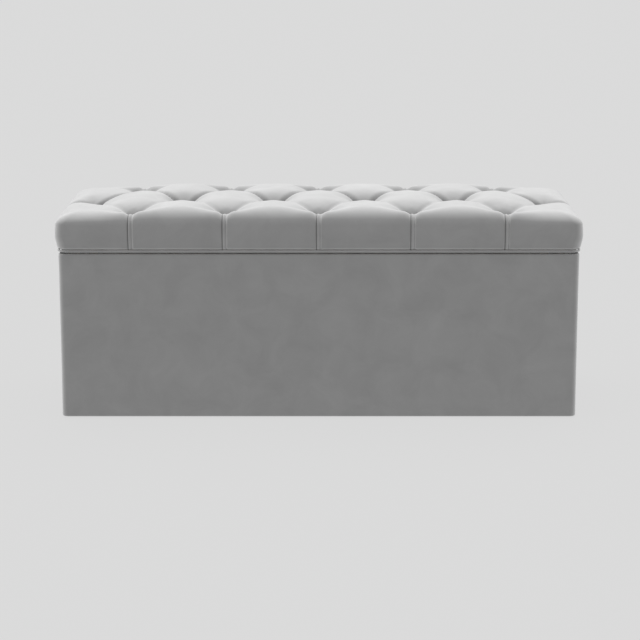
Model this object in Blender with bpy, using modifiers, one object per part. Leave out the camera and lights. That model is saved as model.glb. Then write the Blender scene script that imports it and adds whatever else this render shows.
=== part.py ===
"""Upholstered storage bench: a wrapped timber box, and a deep-buttoned lid on butt hinges and gas struts.

Metres, +Z up, the front faces -Y. The origin is on the floor under the middle of the bench.
"""

import math

import bmesh
import bpy
from mathutils import Matrix, Vector

# Driving dimensions of the bench
BASE_WIDTH = 1.200
BASE_DEPTH = 0.450
RIM_HEIGHT = 0.389
SEAM = 0.004
LID_OVERHANG = 0.0065
LID_HEIGHT = 0.108

# Thicknesses of the sheet goods, and the clearance kept between neighbours
VELVET = 0.0015
WADDING = 0.004
PANEL = 0.015
LID_BOARD = 0.018
LINING = 0.001
CAMBRIC = 0.0008
GAP = 0.0003

# Deep buttoning of the lid: the padding falls away from its crown to the edges, and into a pit at each button
LID_ROLL_WIDTH = 0.055
LID_ROLL_DROP = 0.042
BUTTON_SPACING = 0.216
ROW_SPACING = 0.160
BUTTON_ROWS = {"front": (-1, 5), "middle": (0, 6), "back": (1, 5)}
BUTTON_RADIUS = 0.011
BUTTON_HEIGHT = 0.006
BUTTON_TURN = (0, 0.45, 0.9, 1.3)
PIT_DEPTH = 0.060
SEAT_ABOVE_PIT = 0.0195
CREASE_DEPTH = 0.010

# The lid's layers: how far each stands in from the cover's outside, and how far it lies below the cover's top
FOAM_INSET = 0.0095
FOAM_LOWERED = 0.0225
FIBRE = 0.006
FIBRE_INSET = 0.0025
FIBRE_LOWERED = 0.0062
FOAM_SHOULDER = 0.060
FIBRE_SHOULDER = 0.056
COVER_SHOULDER = 0.055
HEM_HEIGHT = 0.020
LID_BOARD_INSET = 0.005
LID_LINING_INSET = 0.014
LID_BOARD_CORNER = 0.028
LID_CORNER = 0.025
ROLLED_EDGE = 0.010
TURNED_IN = 0.030

# Butt hinges along the back
HINGE_PLACES = {"left": -0.45, "centre": 0.0, "right": 0.45}
HINGE_LENGTH = 0.064
LEAF_WIDTH = 0.028
LEAF_THICKNESS = 0.0015
KNUCKLE_RADIUS = 0.003
KNUCKLES = 5
PIN_RADIUS = 0.00145
PIN_BORE = 0.0017
PIN_HEAD = 0.001
PIN_HEAD_RADIUS = 0.0026

# Gas struts. Both studs stand STRUT_ARM from the hinge axis, so rod and tube stay on one line at every angle.
STRUT_ARM = 0.250
STRUT_X = 0.561
LID_STUD_DROP = 0.020
LID_STUD_ANGLE = -math.asin(LID_STUD_DROP / STRUT_ARM)
BASE_STUD_ANGLE = math.radians(-75)
EYE_RADIUS = 0.008
EYE_WIDTH = 0.010
EYE_BORE = 0.0052
STUD_RADIUS = 0.0048
STUD_SHOULDER_RADIUS = 0.0065
STUD_HEAD_RADIUS = 0.007
STUD_HEAD = 0.0015
STUD_RADIAL_PLAY = EYE_BORE - STUD_RADIUS
BRACKET_PLATE = 0.002
ROD_RADIUS = 0.004
TUBE_RADIUS = 0.009
TUBE_BORE = 0.0075
TUBE_START = 0.022
TUBE_END = 0.237
ROD_END = 0.261
PISTON = 0.010

# Timber inside the box
POST_LEG = 0.024
CLEAT = 0.025
BOTTOM_BOARD = 0.009
HINGE_RAIL_DEPTH = 0.020
HINGE_RAIL_HEIGHT = 0.0397
CORNER_RADIUS = 0.0141

# Feet and buffers
GLIDE_HEIGHT = 0.003
GLIDE_RADIUS = 0.012
GLIDE_INSET = 0.035
BUFFER_RADIUS = 0.007
BUFFER_INSET = 0.0115
SMALL_CHAMFER = 0.001

# Turns of the base's velvet and of the cloth under it
COVER_FOLD = 0.003
DUST_CLOTH_INSET = 0.015
SHARP_CORNER = 0.002

# Levels and half widths that follow from the dimensions above
HALF_X = BASE_WIDTH / 2
HALF_Y = BASE_DEPTH / 2
SKIN = VELVET + GAP + WADDING + GAP
PANEL_X = HALF_X - SKIN
PANEL_Y = HALF_Y - SKIN
INSIDE_X = PANEL_X - PANEL - GAP
INSIDE_Y = PANEL_Y - PANEL - GAP
COVER_BOTTOM = GLIDE_HEIGHT + GAP + CAMBRIC + GAP
PANEL_BOTTOM = COVER_BOTTOM + VELVET + GAP
PANEL_TOP = RIM_HEIGHT - VELVET - GAP
RAIL_BOTTOM = PANEL_TOP - HINGE_RAIL_HEIGHT
FLOOR_TOP = PANEL_BOTTOM + CLEAT + GAP + BOTTOM_BOARD
POST_TOP = RAIL_BOTTOM - LINING
LID_BOTTOM = RIM_HEIGHT + SEAM
LID_TOP = LID_BOTTOM + LID_HEIGHT
LID_X = HALF_X + LID_OVERHANG
LID_Y = HALF_Y + LID_OVERHANG
HINGE_Y = HALF_Y + GAP + KNUCKLE_RADIUS
HINGE_Z = RIM_HEIGHT + SEAM / 2

ROUND_STEPS = 24
SMOOTH_ANGLE = math.radians(40)


# ---------------------------------------------------------------- scene and materials


def clear_scene():
    for obj in list(bpy.data.objects):
        bpy.data.objects.remove(obj)


def new_collection(name):
    collection = bpy.data.collections.new(name)
    bpy.context.scene.collection.children.link(collection)
    return collection


def new_material(name, colour, roughness, metallic=0.0):
    material = bpy.data.materials.new(name)
    material.use_nodes = True
    shader = material.node_tree.nodes["Principled BSDF"]
    shader.inputs["Base Color"].default_value = (*colour, 1.0)
    shader.inputs["Roughness"].default_value = roughness
    shader.inputs["Metallic"].default_value = metallic
    return material


clear_scene()
BENCH = new_collection("storage_bench")
VELVET_GREY = new_material("velvet_grey", (0.20, 0.20, 0.20), 0.85)
FIBRE_WHITE = new_material("fibre_white", (0.80, 0.79, 0.76), 0.95)
FOAM_CREAM = new_material("foam_cream", (0.78, 0.70, 0.45), 0.9)
PLYWOOD = new_material("plywood", (0.55, 0.40, 0.24), 0.7)
PINE = new_material("pine", (0.66, 0.49, 0.29), 0.7)
CLOTH_BLACK = new_material("cloth_black", (0.02, 0.02, 0.022), 0.9)
STEEL = new_material("steel", (0.60, 0.60, 0.61), 0.3, 1.0)
CHROME = new_material("chrome", (0.75, 0.75, 0.76), 0.12, 1.0)
BLACK_PAINT = new_material("black_paint", (0.015, 0.015, 0.016), 0.35)
NYLON = new_material("nylon", (0.05, 0.05, 0.05), 0.5)


# ---------------------------------------------------------------- building helpers


def place(name, data, material, at=(0, 0, 0), turned=(0, 0, 0), parent=None):
    """One named node. A piece with a parent keeps its world place and follows that parent's axis."""
    obj = bpy.data.objects.new(name, data)
    BENCH.objects.link(obj)
    obj.location = at
    obj.rotation_euler = turned
    if not data.materials:
        data.materials.append(material)
    if parent:
        obj.parent = parent
        obj.matrix_parent_inverse = parent.matrix_world.inverted()
    return obj


def axis_empty(name, at):
    """An empty on a joint's axis, which the moving pieces are parented to."""
    empty = bpy.data.objects.new(name, None)
    BENCH.objects.link(empty)
    empty.location = at
    empty.empty_display_size = 0.05
    bpy.context.view_layer.update()
    return empty


def mesh_from(bm, name):
    """The mesh with its faces pointing out. On an open surface the highest face is the one that decides."""
    bmesh.ops.recalc_face_normals(bm, faces=bm.faces)
    if max(bm.faces, key=lambda face: face.calc_center_median().z).normal.z < -0.1:
        bmesh.ops.reverse_faces(bm, faces=bm.faces)
    mesh = bpy.data.meshes.new(name)
    bm.to_mesh(mesh)
    bm.free()
    mesh.set_sharp_from_angle(angle=SMOOTH_ANGLE)
    return mesh


def box_mesh(name, low, high):
    low, high = Vector(low), Vector(high)
    bm = bmesh.new()
    bmesh.ops.create_cube(bm, size=1.0)
    bmesh.ops.scale(bm, vec=high - low, verts=bm.verts)
    bmesh.ops.translate(bm, vec=(low + high) / 2, verts=bm.verts)
    return mesh_from(bm, name)


def board_mesh(name, low, high, radius, rounded):
    """A box whose upright edges are rounded, where rounded(x, y) says so."""
    mesh = box_mesh(name, low, high)
    bm = bmesh.new()
    bm.from_mesh(mesh)
    bpy.data.meshes.remove(mesh)
    upright = [
        edge
        for edge in bm.edges
        if abs(edge.verts[0].co.z - edge.verts[1].co.z) > 1e-6 and rounded(*edge.verts[0].co.xy)
    ]
    bmesh.ops.bevel(bm, geom=upright, offset=radius, segments=3, profile=0.5, affect="EDGES")
    return mesh_from(bm, name)


def cylinder_mesh(name, radius, start, end, along="Z", steps=ROUND_STEPS):
    """A closed cylinder on one local axis, from start to end along it."""
    bm = bmesh.new()
    bmesh.ops.create_cone(
        bm, cap_ends=True, segments=steps, radius1=radius, radius2=radius, depth=end - start
    )
    bmesh.ops.translate(bm, vec=(0, 0, (start + end) / 2), verts=bm.verts)
    if along == "X":
        bmesh.ops.rotate(bm, matrix=Matrix.Rotation(math.pi / 2, 3, "Y"), verts=bm.verts)
    return mesh_from(bm, name)


def joined_mesh(name, bodies, cutters=()):
    """The union of the bodies with the cutters taken out, as one mesh. The helpers are removed again."""
    helpers = []
    for mesh in (*bodies, *cutters):
        helper = bpy.data.objects.new(mesh.name, mesh)
        BENCH.objects.link(helper)
        helpers.append(helper)
    first = helpers[0]
    for number, helper in enumerate(helpers[1:], start=1):
        boolean = first.modifiers.new("join", "BOOLEAN")
        boolean.object = helper
        boolean.operation = "UNION" if number < len(bodies) else "DIFFERENCE"
    graph = bpy.context.evaluated_depsgraph_get()
    result = bpy.data.meshes.new_from_object(first.evaluated_get(graph))
    for helper in helpers:
        bpy.data.objects.remove(helper)
    result.name = name
    result.materials.clear()
    result.set_sharp_from_angle(angle=SMOOTH_ANGLE)
    return result


def turned_piece(name, profile, material, at, parent=None, steps=16):
    """A profile of (radius, height) points, run down its outer side, turned about an upright axis."""
    mesh = bpy.data.meshes.new(name)
    mesh.from_pydata([(r, 0, z) for r, z in profile], [(i, i + 1) for i in range(len(profile) - 1)], [])
    obj = place(name, mesh, material, at, parent=parent)
    screw = obj.modifiers.new("turn", "SCREW")
    screw.steps = steps
    screw.render_steps = steps
    screw.use_merge_vertices = True
    screw.merge_threshold = 0.00002
    screw.use_smooth_shade = True
    return obj


def rounded_loop(half_x, half_y, radius, z, shift_y=0.0, steps=4):
    """Points of a rectangle with round corners, anticlockwise seen from above."""
    points = []
    for quarter in range(4):
        angle = quarter * math.pi / 2
        corner_x = math.copysign(half_x - radius, math.cos(angle + math.pi / 4))
        corner_y = math.copysign(half_y - radius, math.sin(angle + math.pi / 4))
        for step in range(steps + 1):
            turn = angle + step / steps * math.pi / 2
            points.append(
                (corner_x + radius * math.cos(turn), shift_y + corner_y + radius * math.sin(turn), z)
            )
    return points


def loop_surface(name, loops, close_last=False):
    """An open surface through loops of equally many points, extruded from one loop to the next."""
    bm = bmesh.new()
    verts = [bm.verts.new(point) for point in loops[0]]
    edges = [bm.edges.new((verts[i], verts[i - 1])) for i in range(len(verts))]
    for loop in loops[1:]:
        below = {vert.co.copy().freeze(): point for vert, point in zip(verts, loop)}
        made = bmesh.ops.extrude_edge_only(bm, edges=edges)["geom"]
        fresh = {vert.co.copy().freeze(): vert for vert in made if isinstance(vert, bmesh.types.BMVert)}
        edges = [edge for edge in made if isinstance(edge, bmesh.types.BMEdge)]
        verts = [fresh[place_below] for place_below in below]
        for vert, point in zip(verts, below.values()):
            vert.co = point
    if close_last:
        bmesh.ops.contextual_create(bm, geom=edges)
    return mesh_from(bm, name)


def thicken(obj, thickness, outwards=False, even=True):
    """Gives an open surface its thickness, inwards unless told otherwise."""
    solidify = obj.modifiers.new("thickness", "SOLIDIFY")
    solidify.thickness = thickness
    solidify.offset = 1.0 if outwards else -1.0
    solidify.use_even_offset = even


# ---------------------------------------------------------------- the box


def make_panels():
    """Front and back boards run the full width, and the two sides stand between them."""
    for name, side in (("front_panel", -1), ("back_panel", 1)):
        inner, outer = side * (PANEL_Y - PANEL), side * PANEL_Y
        mesh = board_mesh(
            name,
            (-PANEL_X, min(inner, outer), PANEL_BOTTOM),
            (PANEL_X, max(inner, outer), PANEL_TOP),
            CORNER_RADIUS - SKIN,
            lambda x, y: abs(y) > PANEL_Y - PANEL / 2,
        )
        place(name, mesh, PLYWOOD)
    for name, side in (("left_side_panel", -1), ("right_side_panel", 1)):
        inner, outer = side * (PANEL_X - PANEL), side * PANEL_X
        low = (min(inner, outer), -INSIDE_Y, PANEL_BOTTOM)
        high = (max(inner, outer), INSIDE_Y, PANEL_TOP)
        place(name, box_mesh(name, low, high), PLYWOOD)


def make_floor():
    """A thin board on two cleats, with a cloth stapled under the whole box."""
    for name, side in (("floor_cleat_front", -1), ("floor_cleat_back", 1)):
        inner, outer = side * (INSIDE_Y - CLEAT), side * INSIDE_Y
        low = (-INSIDE_X, min(inner, outer), PANEL_BOTTOM)
        high = (INSIDE_X, max(inner, outer), PANEL_BOTTOM + CLEAT)
        place(name, box_mesh(name, low, high), PINE)
    board = box_mesh(
        "bottom_board", (-INSIDE_X, -INSIDE_Y, FLOOR_TOP - BOTTOM_BOARD), (INSIDE_X, INSIDE_Y, FLOOR_TOP)
    )
    place("bottom_board", board, PLYWOOD)
    cloth_x, cloth_y = HALF_X - DUST_CLOTH_INSET, HALF_Y - DUST_CLOTH_INSET
    cloth_z = GLIDE_HEIGHT + GAP
    cloth = box_mesh("base_dust_cloth", (-cloth_x, -cloth_y, cloth_z), (cloth_x, cloth_y, cloth_z + CAMBRIC))
    place("base_dust_cloth", cloth, CLOTH_BLACK)


def make_corner_posts():
    """Three-sided glue blocks in the four corners, standing on the bottom board."""
    bottom = FLOOR_TOP + GAP
    for depth, side_y in (("front", -1), ("back", 1)):
        for width, side_x in (("left", -1), ("right", 1)):
            curve = bpy.data.curves.new(f"corner_post_{depth}_{width}", "CURVE")
            curve.dimensions = "2D"
            curve.fill_mode = "BOTH"
            curve.extrude = (POST_TOP - bottom) / 2
            outline = curve.splines.new("POLY")
            outline.points.add(2)
            outline.use_cyclic_u = True
            corners = ((0, 0), (-side_x * POST_LEG, 0), (0, -side_y * POST_LEG))
            for point, (x, y) in zip(outline.points, corners):
                point.co = (x, y, 0, 1)
            at = (side_x * INSIDE_X, side_y * INSIDE_Y, (POST_TOP + bottom) / 2)
            place(curve.name, curve, PINE, at)


def make_hinge_rail():
    low = (-INSIDE_X, INSIDE_Y - HINGE_RAIL_DEPTH, RAIL_BOTTOM)
    high = (INSIDE_X, INSIDE_Y, PANEL_TOP)
    place("hinge_rail", box_mesh("hinge_rail", low, high), PINE)


def make_base_wrap():
    """Wadding round the outside, and velvet over it that turns over the rim and under the box."""
    fold = COVER_FOLD
    inset = VELVET + GAP
    radius = CORNER_RADIUS - inset
    levels = (COVER_BOTTOM + fold + SMALL_CHAMFER, RIM_HEIGHT - fold - SMALL_CHAMFER)
    loops = [rounded_loop(HALF_X - inset, HALF_Y - inset, radius, z) for z in levels]
    wadding = place("base_wadding", loop_surface("base_wadding", loops), FIBRE_WHITE)
    thicken(wadding, WADDING)

    under = TURNED_IN
    rim_x = INSIDE_X + GAP - VELVET - GAP
    rim_front = INSIDE_Y + GAP - VELVET - GAP
    rim_back = INSIDE_Y - HINGE_RAIL_DEPTH - VELVET - GAP
    rim_y, rim_shift = (rim_front + rim_back) / 2, (rim_back - rim_front) / 2
    loops = [
        rounded_loop(HALF_X - under, HALF_Y - under, SHARP_CORNER, COVER_BOTTOM),
        rounded_loop(HALF_X - fold, HALF_Y - fold, CORNER_RADIUS - fold, COVER_BOTTOM),
        rounded_loop(HALF_X, HALF_Y, CORNER_RADIUS, COVER_BOTTOM + fold),
        rounded_loop(HALF_X, HALF_Y, CORNER_RADIUS, RIM_HEIGHT - fold),
        rounded_loop(HALF_X - fold, HALF_Y - fold, CORNER_RADIUS - fold, RIM_HEIGHT),
        rounded_loop(rim_x, rim_y, SHARP_CORNER, RIM_HEIGHT, rim_shift),
        rounded_loop(rim_x, rim_y, SHARP_CORNER, RAIL_BOTTOM, rim_shift),
    ]
    cover = place("base_cover", loop_surface("base_cover", loops), VELVET_GREY)
    thicken(cover, VELVET)


def make_inner_lining():
    """A cloth tray that lies on the panels, the floor and the slanting faces of the corner posts."""
    half_x, half_y = INSIDE_X - LINING, INSIDE_Y - LINING
    cut = POST_LEG + (GAP + LINING) * math.sqrt(2) - 2 * LINING

    def outline(z):
        corners = []
        for side_x, side_y in ((1, 1), (-1, 1), (-1, -1), (1, -1)):
            pair = [
                (side_x * half_x, side_y * (half_y - cut), z),
                (side_x * (half_x - cut), side_y * half_y, z),
            ]
            corners += pair if side_x * side_y > 0 else pair[::-1]
        return corners

    loops = [outline(POST_TOP), outline(FLOOR_TOP + GAP + LINING)]
    lining = place("inner_lining", loop_surface("inner_lining", loops, close_last=True), CLOTH_BLACK)
    thicken(lining, LINING, outwards=True)


def make_glides_and_buffers():
    """Nylon discs under the corners, and rubber discs on the rim that stop the lid at the front."""
    for depth, side_y in (("front", -1), ("back", 1)):
        for width, side_x in (("left", -1), ("right", 1)):
            profile = (
                (0, GLIDE_HEIGHT),
                (GLIDE_RADIUS, GLIDE_HEIGHT),
                (GLIDE_RADIUS, SMALL_CHAMFER),
                (GLIDE_RADIUS - SMALL_CHAMFER, 0),
                (0, 0),
            )
            at = (side_x * (HALF_X - GLIDE_INSET), side_y * (HALF_Y - GLIDE_INSET), 0)
            turned_piece(f"glide_{depth}_{width}", profile, NYLON, at)
    height = SEAM - 2 * GAP
    for width, side_x in (("left", -1), ("right", 1)):
        profile = (
            (0, height),
            (BUFFER_RADIUS - SMALL_CHAMFER, height),
            (BUFFER_RADIUS, height - SMALL_CHAMFER),
            (BUFFER_RADIUS, 0),
            (0, 0),
        )
        at = (side_x * (HALF_X - BUFFER_INSET), -(HALF_Y - BUFFER_INSET), RIM_HEIGHT + GAP)
        turned_piece(f"lid_buffer_{width}", profile, NYLON, at)


# ---------------------------------------------------------------- the lid


def button_places():
    """(name, x, y) of each button: the middle row is staggered half a spacing against the other two."""
    for row, (step, count) in BUTTON_ROWS.items():
        for number in range(count):
            x = (number - (count - 1) / 2) * BUTTON_SPACING
            yield f"button_{row}_{number + 1}", x, step * ROW_SPACING


def near(a, b):
    """True where two places on the lid are the same point of its grid."""
    return abs(a - b) < 1e-4


def lid_surface_height(x, y):
    """Height of the covered top: rolled down to the edges, pitted at buttons and creased between them."""
    edge = min(LID_X - abs(x), LID_Y - abs(y))
    height = LID_TOP - LID_ROLL_DROP * (1 - min(edge / LID_ROLL_WIDTH, 1)) ** 2
    end_button = 2.5 * BUTTON_SPACING
    for _, button_x, button_y in button_places():
        if near(x, button_x) and near(y, button_y):
            return LID_TOP - PIT_DEPTH
        beside = near(abs(x - button_x), BUTTON_SPACING / 4) and near(abs(y - button_y), ROW_SPACING / 2)
        if beside and abs(x) < end_button:
            height = LID_TOP - CREASE_DEPTH
    return height


def grid_lines(half, pitch, count):
    """Lines at whole steps of pitch, with a border line at each end."""
    inner = [step * pitch for step in range(-count, count + 1)]
    return [-half, *inner, half]


def on_ring(co, half_x, half_y):
    """Moves a border point out to a ring with cut corners, whose corner centres stay where they are."""
    centre_x, centre_y = LID_X - LID_CORNER, LID_Y - LID_CORNER
    out_x, out_y = abs(co.x) > centre_x, abs(co.y) > centre_y
    share = math.cos(math.pi / 4) if out_x and out_y else 1.0
    x = math.copysign(centre_x + (half_x - centre_x) * share, co.x) if out_x else co.x
    y = math.copysign(centre_y + (half_y - centre_y) * share, co.y) if out_y else co.y
    return x, y


def lid_layer_mesh(name, inset, lowered, rings, closed):
    """The top of the lid, inset and lowered, with its border extruded through (inset, z) rings."""
    top_inset = inset + ROLLED_EDGE
    columns = grid_lines(LID_X - top_inset, BUTTON_SPACING / 4, 10)
    rows = grid_lines(LID_Y - top_inset, ROW_SPACING / 4, 5)
    bm = bmesh.new()
    bmesh.ops.create_grid(bm, x_segments=len(columns) - 1, y_segments=len(rows) - 1, size=1.0)
    for vert in bm.verts:
        column = round((vert.co.x + 1) / 2 * (len(columns) - 1))
        row = round((vert.co.y + 1) / 2 * (len(rows) - 1))
        x, y = columns[column], rows[row]
        vert.co = (x, y, lid_surface_height(x, y) - lowered)
    border = [edge for edge in bm.edges if edge.is_boundary]
    for vert in {vert for edge in border for vert in edge.verts}:
        vert.co.xy = on_ring(vert.co, LID_X - top_inset, LID_Y - top_inset)
    for ring_inset, z in rings:
        made = bmesh.ops.extrude_edge_only(bm, edges=border)["geom"]
        border = [item for item in made if isinstance(item, bmesh.types.BMEdge)]
        for vert in {vert for edge in border for vert in edge.verts}:
            vert.co = (*on_ring(vert.co, LID_X - ring_inset, LID_Y - ring_inset), z)
    if closed:
        bmesh.ops.contextual_create(bm, geom=border)
    return mesh_from(bm, name)


def make_lid(axis):
    """From below: lining cloth, the velvet's turned-in edge, the board, foam, fibre wadding and velvet."""
    cover_z = LID_BOTTOM + CAMBRIC + GAP
    board_z = cover_z + VELVET + GAP
    board_top = board_z + LID_BOARD
    foam_z = board_top + GAP

    lining_x, lining_y = HALF_X - LID_LINING_INSET, HALF_Y - LID_LINING_INSET
    lining_top = LID_BOTTOM + CAMBRIC
    lining = box_mesh("lid_lining", (-lining_x, -lining_y, LID_BOTTOM), (lining_x, lining_y, lining_top))
    place("lid_lining", lining, CLOTH_BLACK, parent=axis)

    board_x, board_y = HALF_X - LID_BOARD_INSET, HALF_Y - LID_BOARD_INSET
    board = board_mesh(
        "lid_board",
        (-board_x, -board_y, board_z),
        (board_x, board_y, board_top),
        LID_BOARD_CORNER,
        lambda x, y: True,
    )
    place("lid_board", board, PLYWOOD, parent=axis)

    foam_rings = [(FOAM_INSET, LID_TOP - FOAM_SHOULDER), (FOAM_INSET, foam_z)]
    foam = lid_layer_mesh("lid_foam", FOAM_INSET, FOAM_LOWERED, foam_rings, closed=True)
    place("lid_foam", foam, FOAM_CREAM, parent=axis)

    fibre_rings = [(FIBRE_INSET, LID_TOP - FIBRE_SHOULDER), (FIBRE_INSET, foam_z)]
    wadding = lid_layer_mesh("lid_wadding", FIBRE_INSET, FIBRE_LOWERED, fibre_rings, closed=False)
    thicken(place("lid_wadding", wadding, FIBRE_WHITE, parent=axis), FIBRE, even=False)

    cover_rings = [
        (0.0, LID_TOP - COVER_SHOULDER),
        (0.0, LID_BOTTOM + HEM_HEIGHT),
        (LID_OVERHANG, cover_z),
        (LID_OVERHANG + TURNED_IN, cover_z),
    ]
    cover = lid_layer_mesh("lid_cover", 0.0, 0.0, cover_rings, closed=False)
    thicken(place("lid_cover", cover, VELVET_GREY, parent=axis), VELVET, even=False)


def make_buttons(axis):
    """Domed covered buttons, seated in the pits of the cover."""
    seat = LID_TOP - PIT_DEPTH + SEAT_ABOVE_PIT
    profile = [(BUTTON_RADIUS * math.sin(a), BUTTON_HEIGHT * math.cos(a)) for a in BUTTON_TURN]
    profile += [(BUTTON_RADIUS, SMALL_CHAMFER), (BUTTON_RADIUS - SMALL_CHAMFER, 0), (0, 0)]
    for name, x, y in button_places():
        turned_piece(name, profile, VELVET_GREY, (x, y, seat), axis, steps=12)


# ---------------------------------------------------------------- hinges and struts


def leaf_mesh(name, sign, own_knuckles):
    """A leaf below (sign -1) or above (sign 1) the pin axis, with tongues into its own knuckles."""
    half = HINGE_LENGTH / 2
    near_z = SEAM / 2 - GAP - LEAF_THICKNESS
    low, high = sorted((sign * near_z, sign * (near_z + LEAF_THICKNESS)))
    clear_y = -(KNUCKLE_RADIUS + GAP)
    bodies = [box_mesh("plate", (-half, clear_y - LEAF_WIDTH, low), (half, clear_y, high))]
    pitch = HINGE_LENGTH / KNUCKLES
    for number in own_knuckles:
        start = -half + number * pitch + GAP
        end = start + pitch - 2 * GAP
        bodies.append(box_mesh("tongue", (start, clear_y - 0.001, low), (end, -0.0018, high)))
        bodies.append(cylinder_mesh("knuckle", KNUCKLE_RADIUS, start, end, "X", 16))
    bore = cylinder_mesh("bore", PIN_BORE, -half - 0.01, half + 0.01, "X", 16)
    return joined_mesh(name, bodies, [bore])


def make_hinges(axis):
    """Three steel butt hinges in the seam. The base keeps the outer and middle knuckles and the pin."""
    base_leaf = leaf_mesh("hinge_base_leaf", -1, (0, 2, 4))
    lid_leaf = leaf_mesh("hinge_lid_leaf", 1, (1, 3))
    half = HINGE_LENGTH / 2
    pin = joined_mesh(
        "hinge_pin",
        [
            cylinder_mesh("shank", PIN_RADIUS, -half - PIN_HEAD, half + PIN_HEAD, "X", 12),
            cylinder_mesh("left_head", PIN_HEAD_RADIUS, -half - 2 * PIN_HEAD, -half - GAP, "X", 12),
            cylinder_mesh("right_head", PIN_HEAD_RADIUS, half + GAP, half + 2 * PIN_HEAD, "X", 12),
        ],
    )
    for where, x in HINGE_PLACES.items():
        at = (x, HINGE_Y, HINGE_Z)
        place(f"hinge_base_leaf_{where}", base_leaf, STEEL, at)
        place(f"hinge_pin_{where}", pin, STEEL, at)
        place(f"hinge_lid_leaf_{where}", lid_leaf, STEEL, at, parent=axis)


def stud_place(angle):
    """(y, z) of a strut stud. The angle is from straight forwards, and positive upwards."""
    return HINGE_Y - STRUT_ARM * math.cos(angle), HINGE_Z + STRUT_ARM * math.sin(angle)


def stud_bodies(shoulder_end):
    """A shouldered pin through the eye at x = 0, with a head on its free end."""
    half = EYE_WIDTH / 2 + STUD_RADIAL_PLAY
    return [
        cylinder_mesh("shoulder", STUD_SHOULDER_RADIUS, half, shoulder_end, "X"),
        cylinder_mesh("stud", STUD_RADIUS, -half - STUD_HEAD, shoulder_end, "X"),
        cylinder_mesh("head", STUD_HEAD_RADIUS, -half - STUD_HEAD, -half, "X"),
    ]


def base_bracket_mesh():
    """A flat plate on the side wall, for the end at +X, with the stud pointing inwards."""
    outer = INSIDE_X - LINING - GAP - STRUT_X
    half_width, half_height = 0.0135, 0.025
    low = (outer - BRACKET_PLATE, -half_width, -half_height)
    plate = box_mesh("plate", low, (outer, half_width, half_height))
    return joined_mesh("strut_base_bracket", [plate, *stud_bodies(outer - BRACKET_PLATE / 2)])


def lid_bracket_mesh():
    """An angle under the lid, for the end at +X: one flange lies on the lid, one hangs with the stud."""
    top = LID_BOTTOM - GAP - stud_place(LID_STUD_ANGLE)[1]
    outer, inner = 0.011, -0.014
    flange_half, drop_half = 0.016, 0.012
    below_top = top - BRACKET_PLATE / 2
    flange = box_mesh("flange", (inner, -flange_half, top - BRACKET_PLATE), (outer, flange_half, top))
    drop = box_mesh("drop", (outer - BRACKET_PLATE, -drop_half, -outer), (outer, drop_half, below_top))
    return joined_mesh("strut_lid_bracket", [flange, drop, *stud_bodies(outer - BRACKET_PLATE / 2)])


def rod_mesh():
    """A rod with an eye at its origin, running up local Z to a piston."""
    bodies = [
        cylinder_mesh("eye", EYE_RADIUS, -EYE_WIDTH / 2, EYE_WIDTH / 2, "X"),
        cylinder_mesh("neck", EYE_WIDTH / 2, 0.006, 0.019),
        cylinder_mesh("rod", ROD_RADIUS, 0.012, ROD_END),
        cylinder_mesh("piston", TUBE_BORE - 0.0004, ROD_END - PISTON, ROD_END),
    ]
    return joined_mesh("strut_rod", bodies, [cylinder_mesh("bore", EYE_BORE, -0.02, 0.02, "X")])


def tube_mesh():
    """A cylinder with an eye at its origin, running up local Z to the end that the rod enters."""
    bodies = [
        cylinder_mesh("eye", EYE_RADIUS, -EYE_WIDTH / 2, EYE_WIDTH / 2, "X"),
        cylinder_mesh("neck", EYE_WIDTH / 2, 0.006, TUBE_START - 0.004),
        cylinder_mesh("tube", TUBE_RADIUS, TUBE_START - 0.006, TUBE_END),
    ]
    cutters = [
        cylinder_mesh("bore", TUBE_BORE, TUBE_START, TUBE_END - 0.004),
        cylinder_mesh("gland", ROD_RADIUS + 0.0005, TUBE_END - 0.008, TUBE_END + 0.01),
        cylinder_mesh("eye_bore", EYE_BORE, -0.02, 0.02, "X"),
    ]
    return joined_mesh("strut_tube", bodies, cutters)


def make_struts(lid_axis):
    """A gas strut inside each end wall, its rod on the box and its tube on the lid."""
    base_y, base_z = stud_place(BASE_STUD_ANGLE)
    lid_y, lid_z = stud_place(LID_STUD_ANGLE)
    lean = math.atan2(base_y - lid_y, lid_z - base_z)
    meshes = {
        "base_bracket": base_bracket_mesh(),
        "lid_bracket": lid_bracket_mesh(),
        "rod": rod_mesh(),
        "tube": tube_mesh(),
    }
    for side, sign in (("left", -1), ("right", 1)):
        facing = (0, 0, 0) if sign > 0 else (0, 0, math.pi)
        base_at = (sign * STRUT_X, base_y, base_z)
        lid_at = (sign * STRUT_X, lid_y, lid_z)
        place(f"strut_base_bracket_{side}", meshes["base_bracket"], STEEL, base_at, facing)
        place(f"strut_lid_bracket_{side}", meshes["lid_bracket"], STEEL, lid_at, facing, lid_axis)
        rod_axis = axis_empty(f"strut_rod_axis_{side}", base_at)
        tube_axis = axis_empty(f"strut_tube_axis_{side}", lid_at)
        tube_axis.parent = lid_axis
        tube_axis.matrix_parent_inverse = lid_axis.matrix_world.inverted()
        bpy.context.view_layer.update()
        place(f"strut_rod_{side}", meshes["rod"], CHROME, base_at, (lean, 0, 0), rod_axis)
        place(f"strut_tube_{side}", meshes["tube"], BLACK_PAINT, lid_at, (math.pi + lean, 0, 0), tube_axis)


make_panels()
make_floor()
make_corner_posts()
make_hinge_rail()
make_base_wrap()
make_inner_lining()
make_glides_and_buffers()
LID_AXIS = axis_empty("lid_axis", (0, HINGE_Y, HINGE_Z))
make_lid(LID_AXIS)
make_buttons(LID_AXIS)
make_hinges(LID_AXIS)
make_struts(LID_AXIS)
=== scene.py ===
import math

import bmesh
import bpy
import numpy as np
from mathutils import Matrix, Vector, noise


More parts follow.
